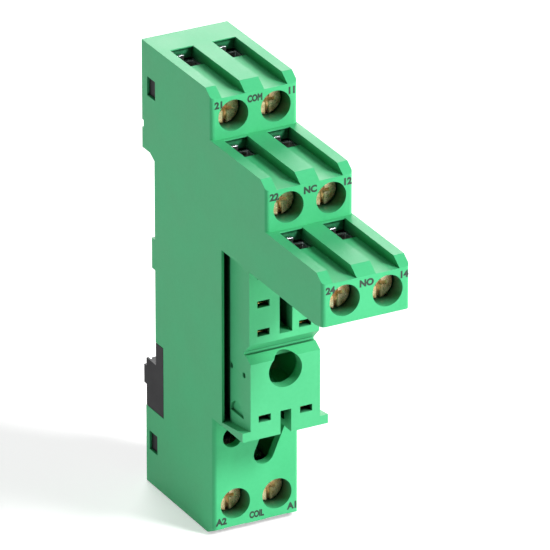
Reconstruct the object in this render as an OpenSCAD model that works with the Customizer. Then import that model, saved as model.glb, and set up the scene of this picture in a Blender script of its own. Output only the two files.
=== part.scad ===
/* [Housing] */
// Width of the socket, along the rail
body_w = 15.5; // [14.5:0.5:18]
// Height of the socket, top to bottom
body_h = 78.4; // [77:0.2:82]
// Depth of the rail recess, from the back plane to the rail seat
seat_depth = 4.2; // [3.8:0.1:5]
// Distance from the top down to the middle of the rail
rail_drop = 37.3; // [36.5:0.1:38]
// Depth of the upper terminal tier, back plane to its front
tier_depth = 24; // [23:0.5:26]
// Step forward from one tier to the next
tier_run = 18.5; // [17.5:0.5:20]
// Step down from one tier to the next
tier_drop = 8.5; // [8.2:0.1:9]
// Height of the lowest tier, its top to its underside
tier_h = 9.1; // [9:0.1:10]
// Depth of the base block, back plane to its front
base_depth = 24.4; // [23.5:0.1:26]
// Reach of the side walls beside the relay block, from the back plane
cheek_depth = 27.3; // [26:0.1:28.5]
// Thickness of the side walls
wall = 1.2; // [1:0.1:1.4]
// Thickness of the side walls' front edge beside the relay block
cheek_edge = 0.45; // [0.4:0.05:0.8]
// Radius of the upright front corners
corner_r = 0.7; // [0.4:0.1:1.2]
// Setback of the sloped front end of each tier's ribs
nose_run = 2; // [1.5:0.1:2.5]
// Depth of the wire troughs at a tier's front
trough_front = 1.4; // [1:0.1:1.6]
// Depth of the wire troughs at the wire opening
trough_back = 1.75; // [1.4:0.05:2]
// Width of the wire troughs
trough_w = 4.2; // [3.6:0.1:4.4]
// Setback of the base block's lower front edge
foot_run = 2.2; // [1:0.1:2.5]
// Height of the base block's lower front slope
foot_rise = 1.1; // [0.6:0.1:1.6]

/* [Terminals] */
// Distance between the two screws of a tier
screw_pitch = 7.6; // [7.5:0.1:8]
// Distance from a tier's top to its screw axis
screw_drop = 4.8; // [4.7:0.1:5]
// Distance from the base's bottom up to its screw axis
base_screw_rise = 5.2; // [4.8:0.1:5.3]
// Radius of the screw shank (M3)
shank_r = 1.5; // [1.2:0.05:1.6]
// Radius of the screw head
head_r = 2.62; // [2.3:0.02:2.7]
// Height of the screw head
head_h = 1.8; // [1.4:0.1:2]
// Depth of the screw head below the front face
head_sink = 3; // [2.6:0.1:3.4]
// Thickness of the web that carries the screw
web_t = 1.5; // [1.2:0.1:1.8]
// Pitch of the screw thread
thread_pitch = 0.5; // [0.35:0.05:0.6]
// Travel of the clamp cage
clamp_travel = 3; // [2.5:0.1:3.2]
// Thickness of the cage's threaded front wall
cage_front = 1.5; // [1.2:0.1:1.8]
// Thickness of the cage's other walls
cage_t = 0.6; // [0.5:0.05:0.8]
// Height of the cage
cage_h = 4.8; // [4.4:0.1:5]
// Width of the cage
cage_w = 5.2; // [4.8:0.1:5.3]
// Depth of the wire space in the open cage
wire_space = 4; // [3.6:0.1:4.2]
// Thickness of the contact strips
strip_t = 0.8; // [0.6:0.05:0.9]
// Width of the contact strips
strip_w = 3.2; // [2.8:0.1:3.4]

/* [Relay block] */
// Width of the relay block
block_w = 12.6; // [12.2:0.1:12.8]
// Depth of the relay face, from the back plane
face_depth = 34; // [33:0.1:35]
// Step from the upper to the lower relay face
face_step = 0.4; // [0.2:0.1:0.8]
// Width of the block's rear part, between the side walls
tail_w = 11.6; // [11:0.1:12]
// Pitch of the relay's contact rows
row_pitch = 5; // [4.9:0.05:5.1]
// Distance from the relay's coil row to its nearest contact row
coil_gap = 15; // [14.8:0.1:15.2]
// Distance from the top of the socket down to the coil row
coil_drop = 53.6; // [53.4:0.1:54]
// Distance from the coil row down to the base block's top
base_gap = 3.6; // [3.4:0.1:4]
// Pitch of the relay's two pin columns
column_pitch = 7.5; // [7.4:0.1:7.6]
// Height of a contact's fork
fork_h = 1.9; // [1.7:0.1:2.1]
// Width of a contact's fork
fork_w = 2.6; // [2.2:0.1:2.8]
// Width of a relay contact slot
slot_w = 2.2; // [2:0.1:2.7]
// Height of a relay contact slot
slot_h = 1.2; // [1.1:0.1:1.5]
// Radius of the guide hole in the relay face
guide_r = 3; // [2.8:0.05:3.3]
// Thickness of the relay block's face
face_t = 2; // [1.6:0.1:2.4]
// Distance from the top of the socket down to the guide hole
guide_drop = 45.9; // [45.6:0.1:46]
// Rise of the shelf's top from the side walls to its front
shelf_rise = 1; // [0:0.1:1.2]

/* [Rail fixing] */
// Width of the rail (TH35)
rail_w = 35; // [35:35]
// Thickness of the rail's flange
rail_t = 1; // [1:0.1:1.5]
// Travel of the rail latch
latch_travel = 3; // [2:0.1:3.2]
// Width of the rail latch
latch_w = 6.8; // [6:0.1:7.4]
// Thickness of the rail latch
latch_t = 1.9; // [1.7:0.1:2.1]
// Overlap of hook and latch behind the rail's flanges
rail_grip = 0.9; // [0.7:0.1:1.1]
// Radius of the latch spring's coil, to the middle of the wire
spring_r = 0.75; // [0.6:0.05:0.8]
// Radius of the latch spring's wire
spring_wire_r = 0.15; // [0.12:0.01:0.17]
// Number of turns of the latch spring
spring_turns = 7; // [5:9]
// Length of the latch spring
spring_l = 6.2; // [5.5:0.1:7]

/* [Hidden] */
COLUMNS = ["left", "right"];
TIERS = ["upper", "middle", "lower", "coil"];
TERMINALS = [for (t = TIERS) for (c = COLUMNS) str(t, "_", c)];
$fn = 48;

GREEN = "#3cab72";
BLOCK_GREEN = "#4fc587";
BLACK = "#3a3c40";
BRASS = "#c9a24e";
STEEL = "#b9bcc0";

// Overshoot of cuts, so that no face is shared
cut = 0.5;
// Clearance between parts that are put together and stay put
seat_gap = 0.1;
// Clearance of sliding and turning parts
slide_gap = 0.2;
run_gap = 0.05;

half_w = body_w / 2;
column_x = screw_pitch / 2;
pin_x = column_pitch / 2;

// Drop from the top of the socket to each tier's top, and to the base's bottom
tops = [0, tier_drop, 2 * tier_drop, body_h];
// Depth of each tier's front
fronts = [tier_depth, tier_depth + tier_run, tier_depth + 2 * tier_run, base_depth];
// Drop from the top of the socket to each row's screw axis
axes = [for (t = [0:3]) t < 3 ? tops[t] + screw_drop : body_h - base_screw_rise];
underside = tops[2] + tier_h;
base_top = coil_drop + base_gap;

// The terminal, measured back from its tier's front
shoulder = head_sink + head_h;
pocket_front = shoulder + web_t;
cage_nose = pocket_front + clamp_travel + 0.3;
screw_tip = cage_nose + cage_front + 1.2;
bar_front = screw_tip + 0.3;
bar_back = bar_front + strip_t;
cage_back_in = bar_back + 0.1 + wire_space;
cage_back = cage_back_in + cage_t;
pocket_back = cage_back + 0.4;
pocket_w = cage_w + 2 * 0.15;
pocket_h = cage_h + 2 * slide_gap;
opening_back = cage_back_in + 0.3;
opening_front = bar_back + 0.7;
undercut_drop = 0.4;
trough_slope = 4;
tab_w = 1.5;
tab_shift = -0.4;
tab_top = 1.2;

// Drop of the bent-back run of a contact strip below its tier's top
strip_drop = 7.8;
// Slopes at the front of the tiers and the base
nose_runs = [nose_run, nose_run, nose_run, foot_run];
nose_rises = [trough_front, trough_front, trough_front, foot_rise];

// The rail fixing, as drops from the top of the socket
rail_top = rail_drop - rail_w / 2;
rail_bottom = rail_drop + rail_w / 2;
recess_top = rail_top - 0.4;
recess_bottom = rail_bottom + 1.8;
recess_step = 2.6;
lug_top = rail_bottom - 2.85;
lug_bottom = rail_bottom + 9.9;
lug_depth = seat_depth + 2.7;
lug_back = 0.85;
lug_rim = [0.4, 0.5];
lug_rib = [recess_bottom + 1, recess_bottom + 4.3];
low_back = 0.7;
bumps = [rail_drop - 3.6, rail_drop + 1.8];
bump_back = seat_depth - 1.1;
flange_back = seat_depth - rail_t;
flange_play = 0.1;
seat_top = rail_top + rail_grip + 0.5;
seat_bottom = rail_bottom - rail_grip - 0.5;
latch_bottom = body_h - 0.5;
latch_back = 0.9;
latch_floor = latch_back + latch_t;
rib_w = latch_w + 1.6;
rib_back = latch_back + 0.5;
rib_floor = latch_floor - 0.6;
channel_floor = latch_floor + slide_gap;
cover_floor = channel_floor + 1.5;
nose_floor = channel_floor - 0.1;
cover_back = 0.3;
cover_t = 1.5;
plate_floor = cover_back + cover_t;
plate_top = 2.4;
cover_bottom = body_h - 2.6;
spring_top = recess_bottom + 3.7;
spring_bottom = spring_top + spring_l;
ledge_h = 1.2;
spring_window = spring_r + spring_wire_r + 0.5;
spring_depth = latch_back + latch_t / 2;
notch_rows = [14, 15.3];
notch_depth = 0.5;
windows = [[5.8, 9.1], [body_h - 9.5, body_h - 6.1]];
window_depths = [1.8, 4.6];

// Openings in the base's front wall: the slanted slot and the test hole
front_t = 1.5;
slant = 23;
slant_slot = [1.4, base_top + 8.2];
slant_slot_r = 1.85;
slant_slot_l = 8.2;
test_hole = [-4.25, base_top + 4];
test_hole_r = 1.8;

// The relay block
block_top = underside + seat_gap;
shelf_top = base_top - 0.7;
shelf_bottom = base_top - seat_gap;
rows = [for (i = [0:2]) coil_drop - coil_gap - row_pitch * i];
contact_rows = [rows[0], rows[1], rows[2], coil_drop];
tail_depth = 23.4;
groove_top = rows[0] + 1.9;
groove_bottom = groove_top + 2.25;
ramp_bottom = groove_bottom + 0.95;
groove_in = 1.85;
groove_flat = 0.35;
groove_ledge = 0.6;
fork_front = face_depth - 1.6;
side_recess = [29.8, 54.3];
side_recess_r = 2.2;
side_dots = [27.9, 32.15];
side_dots_drop = 46.4;
side_dots_r = 0.5;
upper_slot = [[-0.85, 1.45], [30.2, 39.5]];
lower_slot = [[-0.9, 1.05], [53, base_top]];
slot_floor = tail_depth - cut;
// Hollow behind the relay block's face: half width, and drops of the wide and the narrow part
hollow_w = [4.7, 1.95];
hollow_drops = [[44.2, 51.2], [block_top + 1.2, rows[0] + 1.3], [51, 56]];
// Slope under the front of the lowest tier
chin_run = 2.8;
chin_rise = 0.4;

// Rear end of the space behind the relay block, and the strips' upright runs
space_depth = tail_depth - 0.2;
run_depths = [fronts[0] - bar_front - strip_t / 2, tail_depth - 3.2, tail_depth - 1.2,
    base_depth - bar_front - strip_t / 2];

// Depth d in front of the back plane, and drop h below the top, in the part's frame
function fy(d) = seat_depth - d;
function hz(h) = rail_drop - h;
function column(i) = i % 2 == 0 ? -column_x : column_x;
function pin_column(i) = i % 2 == 0 ? -pin_x : pin_x;
function tier(i) = floor(i / 2);

// Box between two widths, two depths and two drops
module block(x0, x1, d0, d1, h0, h1) {
    translate([x0, fy(d1), hz(h1)]) cube([x1 - x0, d1 - d0, h1 - h0]);
}

// Outline of depth and drop pairs, as wide as x0 to x1
module profile(x0, x1, points) {
    translate([x0, 0, 0])
        rotate([90, 0, 90])
            linear_extrude(x1 - x0) polygon([for (p = points) [fy(p[0]), hz(p[1])]]);
}

// Cylinder along the depth, from depth d0 to d1
module rod(x, h, r, d0, d1) {
    translate([x, fy(d0), hz(h)]) rotate([90, 0, 0]) cylinder(r = r, h = d1 - d0);
}

// Block with its two front corners rounded, from the back plane to a front
module tier_block(front, h0, h1) {
    translate([0, 0, hz(h1)]) linear_extrude(h1 - h0) {
        translate([-half_w, fy(front - corner_r)]) square([body_w, front - corner_r]);
        translate([corner_r - half_w, fy(front)]) square([body_w - 2 * corner_r, corner_r]);
        for (side = [-1, 1])
            translate([side * (half_w - corner_r), fy(front - corner_r)]) circle(r = corner_r);
    }
}

// Screw hole, cage pocket and wire opening of terminal i. The base's are turned over.
module terminal_cuts(i) {
    t = tier(i);
    x = column(i);
    front = fronts[t];
    up = t < 3 ? -1 : 1;
    axis = axes[t];
    edge = tops[t] + up * cut;
    pocket_edge = axis + up * pocket_h / 2;
    rod(x, axis, head_r + run_gap, front - shoulder, front + cut);
    rod(x, axis, shank_r + run_gap, front - pocket_front - cut, front - shoulder + cut);
    block(x - pocket_w / 2, x + pocket_w / 2, front - pocket_back, front - pocket_front,
        axis - pocket_h / 2, axis + pocket_h / 2);
    profile(x - trough_w / 2, x + trough_w / 2, [
        [front - opening_back, edge], [front + cut, edge],
        [front + cut, tops[t] - up * nose_rises[t]],
        [front - trough_slope, tops[t] - up * trough_back],
        [front - opening_front, tops[t] - up * trough_back],
        [front - opening_front, pocket_edge - up * 0.1],
        [front - pocket_back + 0.1, pocket_edge - up * 0.1],
        [front - pocket_back + 0.1, tops[t] - up * undercut_drop],
        [front - opening_back, tops[t] - up * undercut_drop / 2]]);
}

// Sloped front ends of a tier's ribs, and the base's lower front slope
module nose_cut(t) {
    up = t < 3 ? -1 : 1;
    slope = nose_rises[t] / nose_runs[t];
    profile(-half_w - cut, half_w + cut, [
        [fronts[t] - nose_runs[t] - cut, tops[t] + up * cut * slope],
        [fronts[t] + cut, tops[t] + up * cut * slope],
        [fronts[t] + cut, tops[t] - up * (nose_rises[t] + cut * slope)]]);
}

// Slope under the front edge of the lowest tier
module chin_cut() {
    slope = chin_rise / chin_run;
    profile(-half_w - cut, half_w + cut, [
        [fronts[2] - chin_run - cut, underside + cut * slope],
        [fronts[2] + cut, underside + cut * slope],
        [fronts[2] + cut, underside - chin_rise - cut * slope]]);
}

module housing_body() {
    tier_block(fronts[0], 0, underside);
    tier_block(fronts[1], tops[1], underside);
    tier_block(fronts[2], tops[2], underside);
    block(-half_w, half_w, 0, cheek_depth, underside - cut, base_top);
    tier_block(base_depth, base_top - cut, body_h);
}

module housing_cavity() {
    inner = half_w - wall;
    base_pocket = axes[3] - pocket_h / 2;
    // Space behind the tiers and the relay block
    profile(-inner, inner, [
        [-cut, pocket_h / 2 + screw_drop], [tail_depth - 4.4, pocket_h / 2 + screw_drop],
        [tail_depth - 4.4, tops[1] + 7.2], [space_depth, tops[1] + 7.2],
        [space_depth, underside], [cheek_depth + cut, underside], [cheek_depth + cut, base_top],
        [base_depth - front_t, base_top], [base_depth - front_t, base_pocket - 1],
        [space_depth - 6, base_pocket], [-cut, base_pocket]]);
    // Room for the rear cover behind the middle webs
    block(-inner, inner, -cut, plate_floor + 0.1, plate_top - 0.2, pocket_h / 2 + screw_drop + cut);
    block(-inner, inner, -cut, cover_floor + 0.1, base_pocket - 1.5, cover_bottom + 0.2);
    // The side walls' front edges are thin beside the relay block
    block(cheek_edge - half_w, half_w - cheek_edge, tail_depth, cheek_depth + cut,
        underside, base_top);
    for (x = [-column_x, column_x]) {
        // Ways behind the upper and the base pockets, where the cages go in
        block(x - pocket_w / 2, x + pocket_w / 2, -cut, fronts[0] - pocket_back + cut,
            screw_drop - pocket_h / 2, screw_drop + pocket_h / 2 + cut);
        block(x - pocket_w / 2, x + pocket_w / 2, -cut, base_depth - pocket_back + cut,
            base_pocket - cut, base_pocket + pocket_h);
        // Ways from the middle and the lower pockets back to the space
        for (t = [1, 2])
            block(x - pocket_w / 2, x + pocket_w / 2, tail_depth - 5, fronts[t] - pocket_back + cut,
                tops[t] + screw_drop - pocket_h / 2, tops[t] + screw_drop + pocket_h / 2);
        // Ways for the middle and the lower contact strips
        for (t = [1, 2])
            block(x - pocket_w / 2, x + pocket_w / 2, tail_depth - 5, fronts[t] - bar_front + 0.5,
                tops[t] + screw_drop, tops[t] + strip_drop + strip_t / 2 + 0.2);
        // Ways from the upper and the base cages to the space
        block(x - pocket_w / 2, x + pocket_w / 2, fronts[0] - bar_back - 1, fronts[0] - bar_front + 1,
            screw_drop, screw_drop + pocket_h / 2 + cut);
        block(x - pocket_w / 2, x + pocket_w / 2, base_depth - bar_back - 1,
            base_depth - bar_front + 1, base_pocket - cut, axes[3]);
    }
}

module snap_windows() {
    for (w = windows)
        block(-half_w - cut, half_w + cut, window_depths[0], window_depths[1], w[0], w[1]);
}

module rail_cuts() {
    // Recess for the rail, with its upper end sloped
    profile(-half_w - cut, half_w + cut, [
        [-cut, recess_top - 0.5], [recess_step, recess_top - 0.5], [seat_depth, recess_top + 0.4],
        [seat_depth, lug_top + cut], [-cut, lug_top + cut]]);
    // Notches for the rear cover's lugs
    block(-half_w - cut, half_w + cut, -cut, lug_depth, lug_top, lug_bottom);
    // Setback of the back edge below the lugs
    block(-half_w - cut, half_w + cut, -cut, low_back, lug_bottom - cut, body_h + cut);
    // Way out for the rail latch through the bottom
    block(-rib_w / 2 - 0.4, rib_w / 2 + 0.4, -cut, channel_floor + 0.4, body_h - 4, body_h + cut);
    // Small notch in the back edge
    block(-half_w - cut, half_w + cut, -cut, notch_depth, notch_rows[0], notch_rows[1]);
}

// Openings in the base's front face
module base_front_cuts() {
    translate([slant_slot[0], fy(base_depth + cut), hz(slant_slot[1])]) rotate([-90, 0, 0]) {
        cylinder(r = slant_slot_r, h = front_t + 2 * cut);
        rotate([0, 0, slant]) translate([-slant_slot_r, -slant_slot_l, 0])
            cube([2 * slant_slot_r, slant_slot_l, front_t + 2 * cut]);
    }
    rod(test_hole[0], test_hole[1], test_hole_r, base_depth - front_t - cut, base_depth + cut);
}

module housing() {
    color(GREEN) difference() {
        housing_body();
        housing_cavity();
        for (i = [0:7]) terminal_cuts(i);
        for (t = [0:3]) nose_cut(t);
        chin_cut();
        snap_windows();
        rail_cuts();
        base_front_cuts();
    }
    // Bumps on the side walls' back edges, between the rail's flanges
    color(GREEN)
        for (m = [0, 1]) mirror([m, 0, 0])
            block(half_w - wall, half_w, bump_back, seat_depth + cut, bumps[0], bumps[1]);
}

module relay_block() {
    lower_face = face_depth + face_step;
    color(BLOCK_GREEN) difference() {
        union() {
            // Front part, with the groove and the ramp across it
            profile(-block_w / 2, block_w / 2, [
                [cheek_depth + 0.1, block_top], [face_depth, block_top], [face_depth, groove_top],
                [face_depth - groove_in, groove_bottom - groove_flat],
                [face_depth - groove_in, groove_bottom],
                [face_depth - groove_in + groove_ledge, groove_bottom], [lower_face, ramp_bottom],
                [lower_face, shelf_bottom], [cheek_depth + 0.1, shelf_bottom]]);
            block(-tail_w / 2, tail_w / 2, tail_depth, cheek_depth + 0.2, block_top, shelf_bottom);
            // Shelf as wide as the housing, its top rising to the front, and its part between the walls
            profile(-half_w, half_w, [
                [cheek_depth + seat_gap, shelf_top], [lower_face, shelf_top - shelf_rise],
                [lower_face, shelf_bottom], [cheek_depth + seat_gap, shelf_bottom]]);
            block(cheek_edge + seat_gap - half_w, half_w - cheek_edge - seat_gap,
                base_depth + seat_gap, cheek_depth + 0.2, shelf_top, shelf_bottom);
        }
        for (side = [-1, 1]) {
            for (h = contact_rows) {
                block(side * pin_x - slot_w / 2, side * pin_x + slot_w / 2, fork_front - cut,
                    lower_face + cut, h - slot_h / 2, h + slot_h / 2);
                block(side * pin_x - fork_w / 2 - slide_gap, side * pin_x + fork_w / 2 + slide_gap,
                    tail_depth - cut, fork_front + 0.1, h - fork_h / 2 - slide_gap,
                    h + fork_h / 2 + slide_gap);
            }
        }
        // Half-round recess and two small holes in each side
        for (side = [-1, 1]) {
            intersection() {
                translate([side * block_w / 2, fy(side_recess[0]), hz(side_recess[1])])
                    rotate([0, 90, 0]) cylinder(r = side_recess_r, h = 1, center = true);
                block(-half_w, half_w, side_recess[0] - side_recess_r, side_recess[0] + side_recess_r,
                    side_recess[1] - side_recess_r, side_recess[1]);
            }
            for (d = side_dots)
                translate([side * block_w / 2, fy(d), hz(side_dots_drop)])
                    rotate([0, 90, 0]) cylinder(r = side_dots_r, h = 1.6, center = true);
        }
        // Upright slots above and below the guide hole
        block(upper_slot[0][0], upper_slot[0][1], slot_floor, face_depth + cut,
            upper_slot[1][0], upper_slot[1][1]);
        block(lower_slot[0][0], lower_slot[0][1], slot_floor, lower_face + cut,
            lower_slot[1][0], lower_slot[1][1]);
        rod(0, guide_drop, guide_r, lower_face - face_t - cut, lower_face + cut);
        // Hollow behind the face, wide behind the guide hole and narrow between the contacts
        block(-hollow_w[0], hollow_w[0], slot_floor, lower_face - face_t,
            hollow_drops[0][0], hollow_drops[0][1]);
        for (h = [hollow_drops[1], hollow_drops[2]])
            block(-hollow_w[1], hollow_w[1], slot_floor, face_depth - face_t, h[0], h[1]);
    }
}

// Strip along a path of depth and drop pairs whose runs are level or upright
module strip(x, w, path) {
    for (k = [0:len(path) - 2]) {
        a = path[k];
        b = path[k + 1];
        block(x - w / 2, x + w / 2, min(a[0], b[0]) - strip_t / 2, max(a[0], b[0]) + strip_t / 2,
            min(a[1], b[1]) - strip_t / 2, max(a[1], b[1]) + strip_t / 2);
    }
}

// Two springy leaves that take a relay pin
module fork(x, h) {
    back = tail_depth + 1.5;
    leaf = 0.5;
    for (side = [-1, 1])
        profile(x - fork_w / 2, x + fork_w / 2, [
            [back, h + side * (fork_h / 2 - leaf)], [back, h + side * fork_h / 2],
            [back + 2, h + side * fork_h / 2], [fork_front - 1.6, h + side * 0.75],
            [fork_front, h + side * 0.95], [fork_front, h + side * 0.5],
            [fork_front - 1.6, h + side * 0.28], [back + 2, h + side * (fork_h / 2 - leaf)]]);
    block(x - fork_w / 2, x + fork_w / 2, back - 0.8, back, h - fork_h / 2, h + fork_h / 2);
}

module contact(i) {
    t = tier(i);
    x = column(i);
    row = contact_rows[t];
    bar = fronts[t] - bar_front - strip_t / 2;
    up = t < 3 ? -1 : 1;
    axis = axes[t];
    bent = tops[t] + strip_drop;
    start = [bar, axis + up * (cage_h / 2 - 0.4 - strip_t / 2)];
    end = [tail_depth + 0.9, row];
    color(BRASS) {
        if (t == 1 || t == 2)
            strip(x, strip_w, [start, [bar, bent], [run_depths[t], bent], [run_depths[t], row]]);
        else
            strip(x, strip_w, [start, [bar, row]]);
        strip(pin_column(i), fork_w, [[run_depths[t], row], end]);
        fork(pin_column(i), row);
    }
}

module screw(i) {
    t = tier(i);
    x = column(i);
    front = fronts[t];
    axis = axes[t];
    color(STEEL) difference() {
        union() {
            rod(x, axis, head_r, front - shoulder, front - head_sink);
            rod(x, axis, shank_r, front - screw_tip + 0.4, front - shoulder + cut);
            translate([x, fy(front - screw_tip), hz(axis)])
                rotate([90, 0, 0]) cylinder(r1 = shank_r - 0.4, r2 = shank_r, h = 0.4);
        }
        // Slot across the head, and a shorter one across it
        block(x - 0.4, x + 0.4, front - head_sink - 1, front, axis - head_r - cut, axis + head_r + cut);
        block(x - 1.5, x + 1.5, front - head_sink - 1.2, front, axis - 0.35, axis + 0.35);
    }
}

module cage(i) {
    t = tier(i);
    x = column(i);
    front = fronts[t];
    up = t < 3 ? -1 : 1;
    axis = axes[t];
    tab_end = tops[t] - up * tab_top;
    color(STEEL) difference() {
        union() {
            block(x - cage_w / 2, x + cage_w / 2, front - cage_back, front - cage_nose,
                axis - cage_h / 2, axis + cage_h / 2);
            // Tab that stands up behind the wire opening
            tab_x = x + tab_shift;
            block(tab_x - tab_w / 2, tab_x + tab_w / 2, front - cage_back, front - cage_back_in,
                min(axis, tab_end), max(axis, tab_end));
        }
        block(x - cage_w / 2 + cage_t, x + cage_w / 2 - cage_t, front - cage_back_in,
            front - cage_nose - cage_front, axis - cage_h / 2 - cut, axis + cage_h / 2 + cut);
        rod(x, axis, shank_r + run_gap, front - cage_nose - cage_front - cut, front - cage_nose + cut);
    }
}

// Channel for the rail latch, open at the back
module latch_channel() {
    block(-latch_w / 2 - slide_gap, latch_w / 2 + slide_gap, -1, channel_floor,
        recess_bottom - 2, body_h + cut);
    block(-rib_w / 2 - slide_gap, rib_w / 2 + slide_gap, rib_back - slide_gap, rib_floor + slide_gap,
        recess_bottom + 0.6, body_h + cut);
}

module rear_cover() {
    inner = half_w - wall - seat_gap;
    color(BLACK) difference() {
        union() {
            // Upper plate, rail seat and lower plate
            block(-inner, inner, cover_back, plate_floor, plate_top, recess_top);
            block(-inner, inner, cover_back, seat_depth + cover_t, recess_top - 0.6, recess_top + 0.6);
            block(-inner, inner, seat_depth, seat_depth + cover_t, recess_top, recess_bottom + 1.5);
            block(-inner, inner, cover_back, cover_floor, recess_bottom, cover_bottom);
            // Fixed hook behind the rail's upper flange
            block(-5, 5, 1, flange_back - 0.1, recess_top, rail_top + rail_grip);
            for (m = [0, 1]) mirror([m, 0, 0]) {
                // Lug that fills the notch in the side wall, with a rib on its back
                block(inner - 1, half_w, seat_depth, lug_depth - seat_gap, lug_top + seat_gap,
                    lug_bottom - seat_gap);
                block(inner - 1, half_w, lug_back, lug_depth - seat_gap, recess_bottom,
                    lug_bottom - seat_gap);
                block(half_w - lug_rim[0], half_w, lug_back, lug_depth - seat_gap,
                    recess_bottom - lug_rim[1], recess_bottom + cut);
                block(rib_w / 2 + 0.8, half_w, 0, lug_back + cut, lug_rib[0], lug_rib[1]);
                // Arms with hooks that snap into the side windows
                for (w = windows) {
                    block(inner - 1, inner, cover_back, window_depths[1] - 0.2, w[0] - 0.4, w[1] + 0.4);
                    block(inner - 0.5, half_w - 0.4, window_depths[0] + seat_gap,
                        window_depths[1] - seat_gap, w[0] + seat_gap, w[1] - seat_gap);
                }
            }
        }
        // Play for the rail's flanges, so that the seat lies between hook and latch
        for (h = [[recess_top + 0.6, seat_top], [seat_bottom, recess_bottom]])
            block(-inner - cut, inner + cut, seat_depth - cut, seat_depth + flange_play, h[0], h[1]);
        latch_channel();
        // Room for the base's cages in front of the plate
        for (x = [-column_x, column_x])
            block(x - pocket_w / 2, x + pocket_w / 2, base_depth - pocket_back, base_depth - bar_front,
                axes[3] - pocket_h / 2, axes[3] + pocket_h / 2);
    }
    // Ledge that carries the latch spring
    color(BLACK)
        block(-spring_r, spring_r, latch_back + 0.2, channel_floor + 0.2, spring_bottom,
            spring_bottom + ledge_h);
}

module rail_latch() {
    color(BLACK) difference() {
        union() {
            block(-latch_w / 2, latch_w / 2, latch_back, latch_floor, recess_bottom, latch_bottom);
            block(-rib_w / 2, rib_w / 2, rib_back, rib_floor, recess_bottom + 1, latch_bottom - 6);
            // Nose behind the rail's lower flange
            profile(-latch_w / 2, latch_w / 2, [
                [latch_back, recess_bottom + 1], [latch_back, recess_bottom - 0.2],
                [latch_back + 1.2, rail_bottom - rail_grip], [nose_floor, rail_bottom - rail_grip],
                [nose_floor, recess_bottom + 1]]);
        }
        // Window for the spring and its ledge
        block(-spring_window, spring_window, latch_back - cut, latch_floor + cut, spring_top,
            spring_bottom + ledge_h + slide_gap);
        // Slot for a screwdriver
        block(-1.7, 1.7, latch_back - cut, latch_floor + cut, latch_bottom - 2.6, latch_bottom - 1.4);
    }
}

// Coil spring as one swept wire
module latch_spring() {
    sides = 8;
    steps = 14;
    rings = spring_turns * steps;
    z0 = hz(spring_bottom) + spring_wire_r;
    z1 = hz(spring_top) - spring_wire_r;
    y = fy(spring_depth);
    points = [for (k = [0:rings]) let (a = 360 * k / steps, z = z0 + (z1 - z0) * k / rings)
        for (j = [0:sides - 1]) let (b = 360 * j / sides, r = spring_r + spring_wire_r * cos(b))
            [r * cos(a), y + r * sin(a), z + spring_wire_r * sin(b)]];
    faces = concat(
        [[for (j = [0:sides - 1]) j]],
        [for (k = [0:rings - 1]) for (j = [0:sides - 1]) let (n = (j + 1) % sides)
            [k * sides + j, (k + 1) * sides + j, (k + 1) * sides + n, k * sides + n]],
        [[for (j = [sides - 1:-1:0]) rings * sides + j]]);
    color(STEEL) polyhedron(points, faces);
}

housing();
relay_block();
rear_cover();
rail_latch();
latch_spring();
for (i = [0:7]) screw(i);
for (i = [0:7]) cage(i);
for (i = [0:7]) contact(i);
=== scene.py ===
"""Relay socket for a 35 mm rail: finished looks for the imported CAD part."""

import math

import bmesh
import bpy
from mathutils import Matrix, Vector


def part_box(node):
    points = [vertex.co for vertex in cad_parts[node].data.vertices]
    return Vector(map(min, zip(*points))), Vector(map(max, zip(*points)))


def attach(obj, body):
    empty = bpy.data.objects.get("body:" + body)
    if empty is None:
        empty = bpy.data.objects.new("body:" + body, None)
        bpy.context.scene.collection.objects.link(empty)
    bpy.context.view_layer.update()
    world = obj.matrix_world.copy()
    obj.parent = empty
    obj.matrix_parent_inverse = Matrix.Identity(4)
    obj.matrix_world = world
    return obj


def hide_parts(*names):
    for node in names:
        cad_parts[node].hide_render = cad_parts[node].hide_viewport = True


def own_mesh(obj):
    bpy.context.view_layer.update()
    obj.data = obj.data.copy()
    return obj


bl_info = {
    "name": "Relay Socket",
    "version": (1, 0, 0),
    "blender": (4, 5, 0),
    "location": "3D View > Sidebar > Relay Socket",
    "description": "Builds the mouldings, screws, clamps, contacts, markings and studio of a relay socket",
    "category": "Object",
}

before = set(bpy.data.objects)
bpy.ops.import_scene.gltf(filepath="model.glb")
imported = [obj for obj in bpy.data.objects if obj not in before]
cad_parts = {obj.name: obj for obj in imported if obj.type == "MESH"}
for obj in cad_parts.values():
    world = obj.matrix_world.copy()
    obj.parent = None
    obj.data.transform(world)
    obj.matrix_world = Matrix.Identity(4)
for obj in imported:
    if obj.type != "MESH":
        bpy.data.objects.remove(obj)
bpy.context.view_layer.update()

MM = 0.001
COLUMNS = ("left", "right")
TIERS = ("upper", "middle", "lower", "coil")
TERMINALS = [f"{tier}_{column}" for tier in TIERS for column in COLUMNS]
HOUSING_LOW, HOUSING_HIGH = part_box("housing")

# Terminal functions in the usual plain numbering, from left to right on each front face
MARKINGS = {
    "upper": ("21", "COM", "11"),
    "middle": ("22", "NC", "12"),
    "lower": ("24", "NO", "14"),
    "coil": ("A2", "COIL", "A1"),
}
# The line of print: above the screws' axis, or below it on the base
PRINT_ABOVE = 2.15 * MM
PRINT_BELOW = 2.85 * MM
# Middle of the outer words from the housing's sides, and of the middle word from the middle
PRINT_FROM_LEFT = 1.4 * MM
PRINT_FROM_RIGHT = 1.1 * MM
PRINT_FROM_MIDDLE = 0.05 * MM
# Type size for characters one unit high
SIZE_PER_HEIGHT = 1.38
# The ink spreads round each stroke, and its thin film is sunk a little into the face
INK_SPREAD = 0.09 * MM
INK_HALF_THICKNESS = 0.008 * MM
INK_LIFT = 0.004 * MM

# The screw heads lie this far behind the front face
HEAD_RECESS = 3 * MM
THREAD_RADIUS = 1.5 * MM
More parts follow.
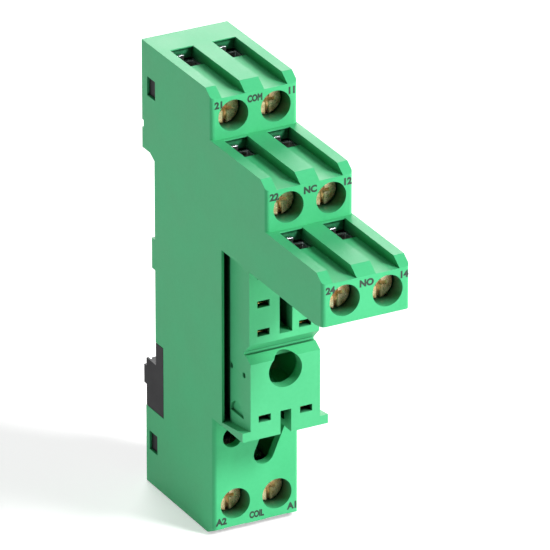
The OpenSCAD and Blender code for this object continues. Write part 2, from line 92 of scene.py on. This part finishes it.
# The shank's end narrows over its last stretch
POINT_LENGTH = 0.4 * MM
POINT_TAPER = 0.3 * MM
# The slot runs out past the rim, and the cross slot ends inside it
SLOT_DEPTH = 1.0 * MM
SLOT_OVERRUN = 0.5 * MM
CROSS_SLOT_LENGTH = 3.0 * MM
CROSS_SLOT_WIDTH = 0.7 * MM
CROSS_SLOT_DEPTH = 1.2 * MM

SPRING_WIRE_RADIUS = 0.15 * MM
SPRING_TURNS = 7

# Broken edges of the pieces that have no property for it, in millimetres
COVER_EDGE_MM = 0.1
LATCH_EDGE_MM = 0.15
CAGE_EDGE_MM = 0.2
STRIP_EDGE_MM = 0.08

# Each lamp: name, place and disk diameter in metres, and power in watts. The front and high lamps
# light the faces that the camera sees, and the back lamp gives the tops their gloss
LAMPS = (
    ("front_lamp", (0.6, -0.75, 0.1), 0.35, 5.4),
    ("high_lamp", (0.42, -0.62, 0.58), 0.25, 9.0),
    ("back_lamp", (0.32, 0.83, 0.46), 0.7, 7.5),
    ("top_lamp", (-0.12, 0.05, 0.9), 0.4, 0.9),
    ("side_lamp", (-0.8, 0.15, 0.05), 0.4, 2.1),
)
LAMP_AIM = Vector((0, -0.025, 0))
FLOOR_RADIUS = 3.0
FLOOR_DROP = 0.05 * MM

# The camera fitted to the photograph's edges: focal length and picture width in pixels, the point
# that it turns about, and the point in the middle of the picture, to the right of it and above it
FOCAL_PX = 8163
PICTURE_PX = 550
CAMERA_DISTANCE = 1.3
CAMERA_TARGET = Vector((0, -25.8 * MM, 2.3 * MM))
CAMERA_AIM_RIGHT = 0.395 * MM
CAMERA_AIM_UP = 3.591 * MM
SENSOR_MM = 36


# Materials

def linear(hex_colour):
    """Scene-linear RGBA of an sRGB hex colour such as "45b37a"."""
    parts = [int(hex_colour[i:i + 2], 16) / 255 for i in (0, 2, 4)]
    return [c / 12.92 if c <= 0.04045 else ((c + 0.055) / 1.055) ** 2.4 for c in parts] + [1.0]


def to_hex(colour):
    """sRGB hex of a colour property, which Blender keeps scene-linear."""
    parts = [12.92 * c if c <= 0.0031308 else 1.055 * c ** (1 / 2.4) - 0.055 for c in colour]
    return "".join(f"{round(255 * min(max(c, 0), 1)):02x}" for c in parts)


def add_node(material, kind, settings=None, inputs=None, links=None):
    """Adds a shader node, sets its properties and input values, and links its inputs."""
    node = material.node_tree.nodes.new(kind)
    for name, value in (settings or {}).items():
        setattr(node, name, value)
    for name, value in (inputs or {}).items():
        node.inputs[name].default_value = value
    for name, source in (links or {}).items():
        material.node_tree.links.new(source, node.inputs[name])
    return node


def new_material(name):
    material = bpy.data.materials.get(name) or bpy.data.materials.new(name)
    material.use_nodes = True
    material.node_tree.nodes.clear()
    return material


def finish_material(material, surface):
    add_node(material, "ShaderNodeOutputMaterial", links={"Surface": surface})
    return material


def moulded_plastic(name, hex_colour, dark_hex, roughness, grain_mm, grain_depth_mm):
    """Injection-moulded plastic: even colour, a fine spark-eroded grain, faint flow clouds, and painted
    shade darkening its hollows.
    """
    material = new_material(name)
    place = add_node(material, "ShaderNodeTexCoord").outputs["Object"]
    # Flow clouds about 9 mm across
    clouds = add_node(material, "ShaderNodeTexNoise", inputs={"Scale": 1 / (9 * MM), "Detail": 2.0},
                      links={"Vector": place})
    # Pigment specks about 0.5 mm across
    specks = add_node(material, "ShaderNodeTexNoise", inputs={"Scale": 1 / (0.5 * MM), "Detail": 1.0},
                      links={"Vector": place})
    both = add_node(material, "ShaderNodeMath", {"operation": "MULTIPLY_ADD"}, {1: 0.35},
                    {0: specks.outputs["Fac"], 2: clouds.outputs["Fac"]})
    colour = add_node(material, "ShaderNodeMapRange",
                      inputs={"From Min": 0.4, "From Max": 1.0, "To Min": 0.0, "To Max": 1.0},
                      links={"Value": both.outputs[0]})
    tint = add_node(material, "ShaderNodeMix", {"data_type": "RGBA"},
                    {"A": linear(dark_hex), "B": linear(hex_colour)}, {"Factor": colour.outputs[0]})
    # Painted shade: ambient occlusion blends the colour toward nearly black in deep holes, slots and other
    # closed-in places, and open faces keep their colour
    painted_shade_occlusion = add_node(material, "ShaderNodeAmbientOcclusion", {"samples": 8, "only_local": False},
                        {"Distance": 7 * MM})
    depth = add_node(material, "ShaderNodeMapRange",
                     inputs={"From Min": 0.12, "From Max": 0.5, "To Min": 0.0, "To Max": 1.0},
                     links={"Value": painted_shade_occlusion.outputs["AO"]})
    painted_shade_colour = add_node(material, "ShaderNodeMix", {"data_type": "RGBA"}, {"A": linear("04140a")},
                      {"Factor": depth.outputs[0], "B": tint.outputs["Result"]})
    # Spark-eroded grain of the mould, drawn coarser than the real one so that it shows
    grain = add_node(material, "ShaderNodeTexNoise",
                     inputs={"Scale": 1 / (grain_mm * MM), "Detail": 3.0, "Roughness": 0.6},
                     links={"Vector": place})
    gloss = add_node(material, "ShaderNodeMapRange",
                     inputs={"From Min": 0.3, "From Max": 0.7,
                             "To Min": roughness - 0.05, "To Max": roughness + 0.06},
                     links={"Value": clouds.outputs["Fac"]})
    bump = add_node(material, "ShaderNodeBump",
                    inputs={"Strength": 0.5, "Distance": grain_depth_mm * MM},
                    links={"Height": grain.outputs["Fac"]})
    # The eroded grain dulls the reflection, so the specular level is well under polished plastic's
    shader = add_node(material, "ShaderNodeBsdfPrincipled",
                      inputs={"IOR": 1.5, "Specular IOR Level": 0.14},
                      links={"Base Color": painted_shade_colour.outputs["Result"],
                             "Roughness": gloss.outputs[0], "Normal": bump.outputs[0]})
    return finish_material(material, shader.outputs[0])


def plated_metal(name, hex_colour, second_hex, roughness, brush_mm, metallic=1.0):
    """Plated or rolled metal: two close tints in patches and fine drawn lines along the depth.

    A passivated plate has a dull film over the metal, so it may be less than fully metallic.
    """
    material = new_material(name)
    place = add_node(material, "ShaderNodeTexCoord").outputs["Object"]
    patches = add_node(material, "ShaderNodeTexNoise", inputs={"Scale": 1 / (1.2 * MM), "Detail": 3.0},
                       links={"Vector": place})
    spread = add_node(material, "ShaderNodeMapRange", inputs={"From Min": 0.35, "From Max": 0.65},
                      links={"Value": patches.outputs["Fac"]})
    tint = add_node(material, "ShaderNodeMix", {"data_type": "RGBA"},
                    {"A": linear(hex_colour), "B": linear(second_hex)}, {"Factor": spread.outputs[0]})
    stretch = add_node(material, "ShaderNodeMapping", inputs={"Scale": (1.0, 0.12, 1.0)},
                       links={"Vector": place})
    lines = add_node(material, "ShaderNodeTexNoise",
                     inputs={"Scale": 1 / (brush_mm * MM), "Detail": 2.0},
                     links={"Vector": stretch.outputs[0]})
    gloss = add_node(material, "ShaderNodeMapRange",
                     inputs={"From Min": 0.3, "From Max": 0.7,
                             "To Min": roughness - 0.07, "To Max": roughness + 0.1},
                     links={"Value": lines.outputs["Fac"]})
    bump = add_node(material, "ShaderNodeBump", inputs={"Strength": 0.35, "Distance": 0.006 * MM},
                    links={"Height": lines.outputs["Fac"]})
    shader = add_node(material, "ShaderNodeBsdfPrincipled", inputs={"Metallic": metallic},
                      links={"Base Color": tint.outputs["Result"],
                             "Roughness": gloss.outputs[0], "Normal": bump.outputs[0]})
    return finish_material(material, shader.outputs[0])


def printing_ink(name, hex_colour):
    """Pad-printed ink: dull and slightly uneven where it took to the grain."""
    material = new_material(name)
    place = add_node(material, "ShaderNodeTexCoord").outputs["Object"]
    cover = add_node(material, "ShaderNodeTexNoise", inputs={"Scale": 1 / (0.3 * MM), "Detail": 2.0},
                     links={"Vector": place})
    tint = add_node(material, "ShaderNodeMix", {"data_type": "RGBA"},
                    {"A": linear(hex_colour), "B": linear("1b3a2c")}, {"Factor": cover.outputs["Fac"]})
    shader = add_node(material, "ShaderNodeBsdfPrincipled", inputs={"Roughness": 0.55, "IOR": 1.5},
                      links={"Base Color": tint.outputs["Result"]})
    return finish_material(material, shader.outputs[0])


# Meshes

def new_piece(name, mesh_source, material, body, replaced=()):
    """Makes a finished piece from a bmesh, with its material and body, and hides the CAD nodes it replaces.
    """
    mesh = bpy.data.meshes.new(name)
    mesh_source.to_mesh(mesh)
    mesh_source.free()
    piece = bpy.data.objects.new(name, mesh)
    bpy.context.scene.collection.objects.link(piece)
    mesh.materials.append(material)
    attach(piece, body)
    if replaced:
        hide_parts(*replaced)
    return piece


def smooth_faces(mesh_source):
    for face in mesh_source.faces:
        face.smooth = True


def moulding(name, node, material, body, edge_mm, segments=2):
    """A CAD node with its sharp edges broken, as a mould or a press leaves them."""
    source = bmesh.new()
    source.from_mesh(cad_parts[node].data)
    bmesh.ops.remove_doubles(source, verts=source.verts, dist=0.002 * MM)
    bmesh.ops.dissolve_limit(source, angle_limit=math.radians(0.3), use_dissolve_boundaries=False,
                             verts=source.verts, edges=source.edges, delimit={"NORMAL"})
    smooth_faces(source)
    piece = new_piece(name, source, material, body, (node,))
    bevel = piece.modifiers.new("broken edges", "BEVEL")
    bevel.width = edge_mm * MM
    bevel.segments = segments
    bevel.profile = 0.5
    bevel.limit_method = "ANGLE"
    bevel.angle_limit = math.radians(20)
    bevel.use_clamp_overlap = True
    shading = piece.modifiers.new("flat faces", "WEIGHTED_NORMAL")
    shading.mode = "FACE_AREA"
    shading.weight = 100
    return piece


# Properties

class SocketMouldings(bpy.types.PropertyGroup):
    green: bpy.props.FloatVectorProperty(
        name="Housing green", description="Colour of the housing", subtype="COLOR",
        default=linear("4cbc80")[:3], min=0, max=1)
    light_green: bpy.props.FloatVectorProperty(
        name="Relay block green", description="Colour of the block that takes the relay", subtype="COLOR",
        default=linear("52bc82")[:3], min=0, max=1)
    black: bpy.props.FloatVectorProperty(
        name="Cover black", description="Colour of the rear cover and the rail latch", subtype="COLOR",
        default=linear("141216")[:3], min=0, max=1)
    edge: bpy.props.FloatProperty(
        name="Edge", description="Width of the mouldings' broken edges", subtype="DISTANCE",
        default=0.12 * MM, min=0.02 * MM, max=0.3 * MM)


class SocketScrews(bpy.types.PropertyGroup):
    rim: bpy.props.FloatProperty(
        name="Rim", description="Rounding of the screw head's rim", subtype="DISTANCE",
        default=0.35 * MM, min=0.1 * MM, max=0.6 * MM)
    head_height: bpy.props.FloatProperty(
        name="Head height", description="Height of the screw head", subtype="DISTANCE",
        default=1.8 * MM, min=1.2 * MM, max=2.2 * MM)
    slot_width: bpy.props.FloatProperty(
        name="Slot width", description="Width of the slot across the head", subtype="DISTANCE",
        default=0.8 * MM, min=0.5 * MM, max=1.2 * MM)
    pitch: bpy.props.FloatProperty(
        name="Thread pitch", description="Pitch of the thread", subtype="DISTANCE",
        default=0.5 * MM, min=0.35 * MM, max=0.7 * MM)


class SocketMarkings(bpy.types.PropertyGroup):
    height: bpy.props.FloatProperty(
        name="Height", description="Height of the printed characters", subtype="DISTANCE",
        default=1.15 * MM, min=0.8 * MM, max=2 * MM)
    width: bpy.props.FloatProperty(
        name="Greatest width", description="Width that a longer word is narrowed to", subtype="DISTANCE",
        default=2.7 * MM, min=1.5 * MM, max=4 * MM)
    ink: bpy.props.FloatVectorProperty(
        name="Ink", description="Colour of the printing ink", subtype="COLOR",
        default=linear("0b2117")[:3], min=0, max=1)


class SocketStudio(bpy.types.PropertyGroup):
    azimuth: bpy.props.FloatProperty(
        name="Camera azimuth", description="Turn of the camera from straight in front", subtype="ANGLE",
        default=math.radians(-28.05))
    elevation: bpy.props.FloatProperty(
        name="Camera elevation", description="Height of the camera above level", subtype="ANGLE",
        default=math.radians(25.15))
    distance: bpy.props.FloatProperty(
        name="Camera distance", description="Distance of the camera from the socket", subtype="DISTANCE",
        default=CAMERA_DISTANCE, min=0.5, max=4)


# Operators

class SOCKET_OT_mouldings(bpy.types.Operator):
    """Housing, relay block, rear cover and rail latch with their moulded finish, and painted shade
    darkening their hollows
    """
    bl_idname = "socket.mouldings"
    bl_label = "Mouldings"

    def execute(self, context):
        values = context.scene.socket_mouldings
        green = moulded_plastic("green_polycarbonate", to_hex(values.green), dark_hex="44b377",
                                roughness=0.42, grain_mm=0.22, grain_depth_mm=0.02)
        light = moulded_plastic("light_green_polycarbonate", to_hex(values.light_green),
                                dark_hex="4ab379", roughness=0.4, grain_mm=0.22, grain_depth_mm=0.02)
        black = moulded_plastic("black_nylon", to_hex(values.black), dark_hex="141216",
                                roughness=0.45, grain_mm=0.25, grain_depth_mm=0.025)
        edge = values.edge / MM
        moulding("housing_moulding", "housing", green, "socket", edge)
        moulding("relay_block_moulding", "relay_block", light, "socket", edge)
        moulding("rear_cover_moulding", "rear_cover", black, "socket", COVER_EDGE_MM)
        moulding("rail_latch_moulding", "rail_latch", black, "rail_latch", LATCH_EDGE_MM)
        return {"FINISHED"}


class SOCKET_OT_screws(bpy.types.Operator):
    """Eight clamp screws with slotted heads and threads"""
    bl_idname = "socket.screws"
    bl_label = "Screws"

    def execute(self, context):
        values = context.scene.socket_screws
        metal = plated_metal("yellow_zinc_plate", "ffe6c0", "e0b480", roughness=0.3, brush_mm=0.12,
                             metallic=0.75)
        for terminal in TERMINALS:
            low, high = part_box(f"screw_{terminal}")
            head = self.head(values, low, high)
            new_piece(f"screw_{terminal}_finished", head, metal, f"screw_{terminal}",
                      (f"screw_{terminal}",))
        return {"FINISHED"}

    def head(self, values, low, high):
        """Head turned about the screw's axis, with a slot and a shorter cross slot, on a threaded shank."""
        centre = (low + high) / 2
        radius = (high.x - low.x) / 2
        front = low.y
        back = front + values.head_height
        rim = values.rim
        crest = THREAD_RADIUS
        root = crest - 0.55 * values.pitch
        source = bmesh.new()
        profile = [(0.0, front), (radius - rim, front)]
        for k in range(1, 5):
            turn = math.pi / 2 * k / 4
            profile.append((radius - rim + rim * math.sin(turn), front + rim - rim * math.cos(turn)))
        profile += [(radius, back), (root, back), (root, high.y - POINT_LENGTH),
                    (root - POINT_TAPER, high.y), (0.0, high.y)]
        ring = [source.verts.new((centre.x + r, y, centre.z)) for r, y in profile]
        edges = [source.edges.new(pair) for pair in zip(ring, ring[1:])]
        bmesh.ops.spin(source, geom=ring + edges, cent=centre, axis=(0, 1, 0), angle=2 * math.pi,
                       steps=64, use_merge=True)
        bmesh.ops.remove_doubles(source, verts=source.verts, dist=0.001 * MM)
        bmesh.ops.recalc_face_normals(source, faces=source.faces)
        self.cut(source, centre, front, radius, values.slot_width)
        # Thread: one ridge with sloped flanks, carried round and forward
        turns = int((high.y - 0.5 * MM - back) / values.pitch)
        start = back + 0.1 * MM
        ridge = [(root - 0.05 * MM, start), (crest, start + 0.22 * values.pitch),
                 (crest, start + 0.34 * values.pitch), (root - 0.05 * MM, start + 0.56 * values.pitch)]
        thread = [source.verts.new((centre.x + r, y, centre.z)) for r, y in ridge]
        lines = [source.edges.new(pair) for pair in zip(thread, thread[1:] + thread[:1])]
        steps = 24 * turns
        swept = bmesh.ops.spin(source, geom=thread + lines, cent=centre, axis=(0, 1, 0),
                               dvec=(0, values.pitch * turns / steps, 0),
                               angle=2 * math.pi * turns, steps=steps)
        ends = [v for v in swept["geom_last"] if isinstance(v, bmesh.types.BMVert)]
        bmesh.ops.contextual_create(source, geom=thread)
        bmesh.ops.contextual_create(source, geom=ends)
        bmesh.ops.recalc_face_normals(source, faces=source.faces)
        for face in source.faces:
            face.smooth = abs(face.normal.y) < 0.9
        return source

    def cut(self, source, centre, front, radius, width):
        """Cuts the long slot and the cross slot out of the head."""
        mesh = bpy.data.meshes.new("screw_blank")
        source.to_mesh(mesh)
        blank = bpy.data.objects.new("screw_blank", mesh)
        bpy.context.scene.collection.objects.link(blank)
        tools = []
        # Half of each slot's size across and along the head, and its depth
        slots = ((width / 2, radius + SLOT_OVERRUN, SLOT_DEPTH),
                 (CROSS_SLOT_LENGTH / 2, CROSS_SLOT_WIDTH / 2, CROSS_SLOT_DEPTH))
        for across, along, depth in slots:
            tool = bmesh.new()
            bmesh.ops.create_cube(tool, size=2.0)
            bmesh.ops.scale(tool, vec=(across, depth, along), verts=tool.verts)
            bmesh.ops.translate(tool, vec=(centre.x, front, centre.z), verts=tool.verts)
            tool_mesh = bpy.data.meshes.new("slot_tool")
            tool.to_mesh(tool_mesh)
            tool.free()
            tool_object = bpy.data.objects.new("slot_tool", tool_mesh)
            bpy.context.scene.collection.objects.link(tool_object)
            tools.append(tool_object)
            boolean = blank.modifiers.new("slot", "BOOLEAN")
            boolean.operation = "DIFFERENCE"
            boolean.solver = "EXACT"
            boolean.object = tool_object
        bpy.context.view_layer.update()
        shaped = blank.evaluated_get(bpy.context.evaluated_depsgraph_get()).to_mesh()
        source.clear()
        source.from_mesh(shaped)
        for extra in tools + [blank]:
            data = extra.data
            bpy.data.objects.remove(extra)
            bpy.data.meshes.remove(data)


class SOCKET_OT_clamps(bpy.types.Operator):
    """Eight bent and plated clamp cages"""
    bl_idname = "socket.clamps"
    bl_label = "Clamp cages"

    def execute(self, context):
        zinc = plated_metal("bright_zinc_plate", "c9ccd0", "b4b8bd", roughness=0.3, brush_mm=0.15)
        for terminal in TERMINALS:
            moulding(f"cage_{terminal}_finished", f"cage_{terminal}", zinc, f"cage_{terminal}",
                     CAGE_EDGE_MM, segments=3)
        return {"FINISHED"}


class SOCKET_OT_contacts(bpy.types.Operator):
    """Eight contact strips with their forks"""
    bl_idname = "socket.contacts"
    bl_label = "Contact strips"

    def execute(self, context):
        brass = plated_metal("rolled_brass", "d9b36a", "c79c50", roughness=0.28, brush_mm=0.1)
        for terminal in TERMINALS:
            moulding(f"contact_{terminal}_finished", f"contact_{terminal}", brass, "socket",
                     STRIP_EDGE_MM)
        return {"FINISHED"}


class SOCKET_OT_latch_spring(bpy.types.Operator):
    """Coil spring behind the rail latch"""
    bl_idname = "socket.latch_spring"
    bl_label = "Latch spring"

    def execute(self, context):
        steel = plated_metal("spring_steel", "b9bcc0", "a2a6ab", roughness=0.3, brush_mm=0.1)
        low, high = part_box("latch_spring")
        wire = SPRING_WIRE_RADIUS
        steps = 32 * SPRING_TURNS
        centre = (low + high) / 2
        coil = (high.x - low.x) / 2 - wire
        rise = high.z - low.z - 2 * wire
        source = bmesh.new()
        section = bmesh.ops.create_circle(source, segments=12, radius=wire)["verts"]
        bmesh.ops.rotate(source, verts=section, cent=(0, 0, 0), matrix=Matrix.Rotation(math.pi / 2, 3, "X"))
        bmesh.ops.translate(source, verts=section, vec=(centre.x + coil, centre.y, low.z + wire))
        start = section + list(source.edges)
        swept = bmesh.ops.spin(source, geom=start, cent=centre, axis=(0, 0, 1),
                               dvec=(0, 0, rise / steps), angle=2 * math.pi * SPRING_TURNS, steps=steps)
        ends = [v for v in swept["geom_last"] if isinstance(v, bmesh.types.BMVert)]
        bmesh.ops.contextual_create(source, geom=section)
        bmesh.ops.contextual_create(source, geom=ends)
        bmesh.ops.recalc_face_normals(source, faces=source.faces)
        smooth_faces(source)
        piece = new_piece("latch_spring_finished", source, steel, "socket", ("latch_spring",))
        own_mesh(piece)
        return {"FINISHED"}


class SOCKET_OT_markings(bpy.types.Operator):
    """Plain terminal numbers and functions printed on the front faces"""
    bl_idname = "socket.markings"
    bl_label = "Markings"

    def execute(self, context):
        values = context.scene.socket_markings
        ink = printing_ink("printed_marking", to_hex(values.ink))
        for tier in TIERS:
            low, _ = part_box(f"screw_{tier}_left")
            _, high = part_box(f"screw_{tier}_right")
            front = low.y - HEAD_RECESS
            axis = (low.z + high.z) / 2
            line = axis + PRINT_ABOVE if tier != "coil" else axis - PRINT_BELOW
            places = (HOUSING_LOW.x + PRINT_FROM_LEFT, PRINT_FROM_MIDDLE, HOUSING_HIGH.x - PRINT_FROM_RIGHT)
            for words, x, side in zip(MARKINGS[tier], places, ("left", "middle", "right")):
                self.word(f"marking_{tier}_{side}", words, values, x, front, line, ink)
        return {"FINISHED"}

    def word(self, name, words, values, x, front, line, ink):
        """One word of print as a thin mesh on the front face, with its middle at x and line."""
        curve = bpy.data.curves.new(name, "FONT")
        curve.body = words
        curve.size = values.height * SIZE_PER_HEIGHT
        curve.align_x = "CENTER"
        curve.align_y = "CENTER"
        curve.resolution_u = 3
        curve.extrude = INK_HALF_THICKNESS
        curve.offset = INK_SPREAD
        text = bpy.data.objects.new(name, curve)
        bpy.context.scene.collection.objects.link(text)
        bpy.context.view_layer.update()
        source = bmesh.new()
        source.from_mesh(text.evaluated_get(bpy.context.evaluated_depsgraph_get()).to_mesh())
        bpy.data.objects.remove(text)
        bpy.data.curves.remove(curve)
        bmesh.ops.remove_doubles(source, verts=source.verts, dist=0.0005 * MM)
        natural = max(v.co.x for v in source.verts) - min(v.co.x for v in source.verts)
        bmesh.ops.scale(source, vec=(min(1, values.width / natural), 1, 1), verts=source.verts)
        place = Matrix.Translation((x, front - INK_LIFT, line)) @ Matrix.Rotation(math.pi / 2, 4, "X")
        bmesh.ops.transform(source, matrix=place, verts=source.verts)
        new_piece(name, source, ink, "socket")


class SOCKET_OT_studio(bpy.types.Operator):
    """Pale floor, soft lamps and the camera"""
    bl_idname = "socket.studio"
    bl_label = "Studio"

    def execute(self, context):
        values = context.scene.socket_studio
        self.floor()
        self.world(context.scene)
        for lamp in LAMPS:
            self.lamp(*lamp)
        self.camera(context.scene, values)
        context.scene.view_settings.view_transform = "Standard"
        return {"FINISHED"}

    def seen(self, material):
        """1 for rays from the camera, a reflection or a transmission, so metal shows the same backdrop."""
        path = add_node(material, "ShaderNodeLightPath")
        glossy = add_node(material, "ShaderNodeMath", {"operation": "MAXIMUM"},
                          links={0: path.outputs["Is Camera Ray"], 1: path.outputs["Is Glossy Ray"]})
        return add_node(material, "ShaderNodeMath", {"operation": "MAXIMUM"},
                        links={0: glossy.outputs[0], 1: path.outputs["Is Transmission Ray"]}).outputs[0]

    def floor(self):
        """White paper that keeps the shadow and is lifted to white where it is seen."""
        source = bmesh.new()
        bmesh.ops.create_circle(source, cap_ends=True, segments=64, radius=FLOOR_RADIUS)
        bmesh.ops.translate(source, verts=source.verts, vec=(0, 0, HOUSING_LOW.z - FLOOR_DROP))
        mesh = bpy.data.meshes.new("studio_floor")
        source.to_mesh(mesh)
        source.free()
        floor = bpy.data.objects.new("studio_floor", mesh)
        bpy.context.scene.collection.objects.link(floor)
        material = new_material("white_paper")
        pale = add_node(material, "ShaderNodeBsdfDiffuse", inputs={"Color": linear("ececec")})
        lift = add_node(material, "ShaderNodeEmission", inputs={"Color": (1, 1, 1, 1), "Strength": 0.45})
        both = add_node(material, "ShaderNodeAddShader", links={0: pale.outputs[0], 1: lift.outputs[0]})
        mixed = add_node(material, "ShaderNodeMixShader",
                         links={"Fac": self.seen(material), 1: pale.outputs[0], 2: both.outputs[0]})
        mesh.materials.append(finish_material(material, mixed.outputs[0]))

    def world(self, scene):
        """Plain white backdrop, and a little soft light from all round."""
        world = bpy.data.worlds.new("studio_light")
        scene.world = world
        world.use_nodes = True
        world.node_tree.nodes.clear()
        soft = add_node(world, "ShaderNodeBackground", inputs={"Color": (1, 1, 1, 1), "Strength": 0.04})
        white = add_node(world, "ShaderNodeBackground", inputs={"Color": (1, 1, 1, 1), "Strength": 1.0})
        mixed = add_node(world, "ShaderNodeMixShader",
                         links={"Fac": self.seen(world), 1: soft.outputs[0], 2: white.outputs[0]})
        add_node(world, "ShaderNodeOutputWorld", links={"Surface": mixed.outputs[0]})

    def lamp(self, name, place, size, power):
        light = bpy.data.lights.new(name, "AREA")
        light.shape = "DISK"
        light.size = size
        light.energy = power
        lamp = bpy.data.objects.new(name, light)
        lamp.location = place
        aim = LAMP_AIM - Vector(place)
        lamp.rotation_euler = aim.to_track_quat("-Z", "Y").to_euler()
        bpy.context.scene.collection.objects.link(lamp)

    def camera(self, scene, values):
        a, e = values.azimuth, values.elevation
        back = Vector((math.sin(a) * math.cos(e), -math.cos(a) * math.cos(e), math.sin(e)))
        right = Vector((math.cos(a), math.sin(a), 0))
        up = back.cross(right)
        place = CAMERA_TARGET + values.distance * back
        aim = CAMERA_TARGET + CAMERA_AIM_RIGHT * right + CAMERA_AIM_UP * up
        data = bpy.data.cameras.new("photograph_camera")
        data.sensor_width = SENSOR_MM
        data.lens = SENSOR_MM * FOCAL_PX / PICTURE_PX * values.distance / CAMERA_DISTANCE
        data.clip_end = 20
        camera = bpy.data.objects.new("photograph_camera", data)
        camera.location = place
        camera.rotation_euler = (aim - place).to_track_quat("-Z", "Y").to_euler()
        scene.collection.objects.link(camera)
        scene.camera = camera


class SOCKET_PT_panel(bpy.types.Panel):
    """Lists the pieces of the relay socket"""
    bl_idname = "SOCKET_PT_panel"
    bl_label = "Relay Socket"
    bl_space_type = "VIEW_3D"
    bl_region_type = "UI"
    bl_category = "Relay Socket"

    def draw(self, context):
        for operator in OPERATORS:
            self.layout.operator(operator.bl_idname)


OPERATORS = (SOCKET_OT_mouldings, SOCKET_OT_screws, SOCKET_OT_clamps, SOCKET_OT_contacts,
             SOCKET_OT_latch_spring, SOCKET_OT_markings, SOCKET_OT_studio)
GROUPS = {"socket_mouldings": SocketMouldings, "socket_screws": SocketScrews,
          "socket_markings": SocketMarkings, "socket_studio": SocketStudio}


def register():
    for group in GROUPS.values():
        bpy.utils.register_class(group)
    for name, group in GROUPS.items():
        setattr(bpy.types.Scene, name, bpy.props.PointerProperty(type=group))
    for operator in OPERATORS:
        bpy.utils.register_class(operator)
    bpy.utils.register_class(SOCKET_PT_panel)


def unregister():
    bpy.utils.unregister_class(SOCKET_PT_panel)
    for operator in reversed(OPERATORS):
        bpy.utils.unregister_class(operator)
    for name, group in GROUPS.items():
        delattr(bpy.types.Scene, name)
        bpy.utils.unregister_class(group)


def main():
    register()
    bpy.ops.socket.mouldings()
    bpy.ops.socket.screws()
    bpy.ops.socket.clamps()
    bpy.ops.socket.contacts()
    bpy.ops.socket.latch_spring()
    bpy.ops.socket.markings()
    bpy.ops.socket.studio()


if __name__ == "__main__":
    main()
